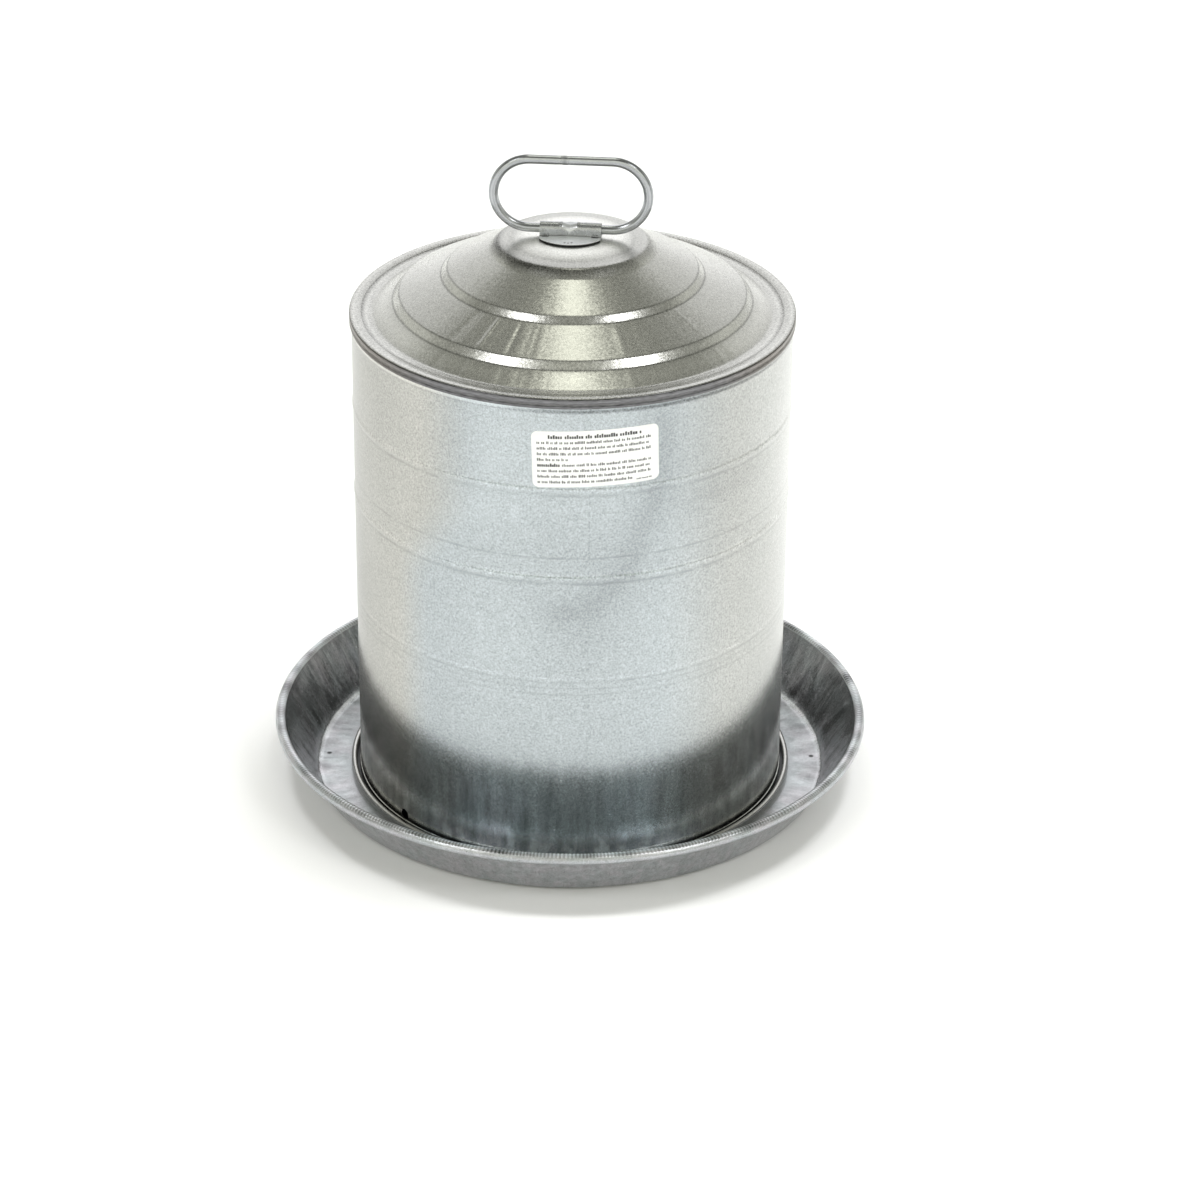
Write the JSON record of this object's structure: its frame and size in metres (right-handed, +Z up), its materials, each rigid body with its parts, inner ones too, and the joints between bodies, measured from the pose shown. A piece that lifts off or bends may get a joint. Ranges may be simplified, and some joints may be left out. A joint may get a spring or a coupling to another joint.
{
  "type": "poultry waterer fount",
  "caption": "Double-wall galvanised poultry fount: stepped conical lid with loop handle on a lift-off jacket over a valved inner tank fixed to a round drinking pan.",
  "frame": {"origin": "centre of the drinking pan's underside, on the ground", "axes": "+Z up along the axis of the tank and jacket; -Y is the front, where the label and the valve are; +X is to the right of someone facing the front"},
  "size_m": [0.406, 0.406, 0.4446],
  "materials": {
    "pan_galvanised": "hot-dip galvanised sheet, satin, fine radial drawing marks",
    "jacket_galvanised": "galvanised sheet, fine-grained satin",
    "lid_galvanised": "galvanised sheet, fine-grained sparkle",
    "tank_galvanised": "galvanised sheet, satin",
    "wire_zinc": "bright zinc-plated wire",
    "clip_steel": "zinc-plated pressed steel",
    "solder": "wiped solder, dull",
    "brass": "turned brass",
    "rubber": "black rubber",
    "seam_compound": "dark sealing compound",
    "spring_steel": "stainless spring wire",
    "label": "white printed film, matt"
  },
  "bodies": {
    "base": {"drinking_pan": "pan_galvanised", "jacket_guide_ring": "pan_galvanised", "inner_tank": "tank_galvanised", "tank_bottom": "tank_galvanised", "tank_base_seal": "solder", "bail_ear_left": "clip_steel", "bail_ear_right": "clip_steel", "bail_ear_rivets": "clip_steel", "valve_bush": "brass", "valve_bush_gasket": "rubber", "valve_lock_nut": "brass", "valve_spring": "spring_steel"},
    "jacket": {"jacket_shell": "jacket_galvanised", "conical_lid": "lid_galvanised", "lid_seam_compound": "seam_compound", "handle_clip": "clip_steel", "instruction_label": "label"},
    "lid_handle": {"lid_handle": "wire_zinc"},
    "tank_bail": {"tank_bail": "wire_zinc"},
    "valve": {"valve_stem": "brass", "valve_washer": "rubber", "valve_retainer": "brass"}
  },
  "joints": [
    {"name": "jacket_lift", "type": "slide", "parent": "base", "child": "jacket", "axis": [0, 0, 1], "range_m": [0, 0.38]},
    {"name": "lid_handle_swing", "type": "hinge", "parent": "jacket", "child": "lid_handle", "pos_m": [-0.0015, 0, 0.3945], "axis": [0.9976, -0.0698, 0], "range_deg": [-94, 94]},
    {"name": "bail_swing", "type": "hinge", "parent": "base", "child": "tank_bail", "pos_m": [0, 0, 0.329], "axis": [1, 0, 0], "range_deg": [-180, 180]},
    {"name": "valve_travel", "type": "slide", "parent": "base", "child": "valve", "axis": [0, -1, 0], "range_m": [0, 0.0046], "stiffness_N_per_m": 150, "springref_m": 0.006, "deforming": ["valve_spring"]}
  ],
  "couplings": [
    {"joint": "valve_travel", "follows": "jacket_lift", "ratio": 0.0121}
  ]
}
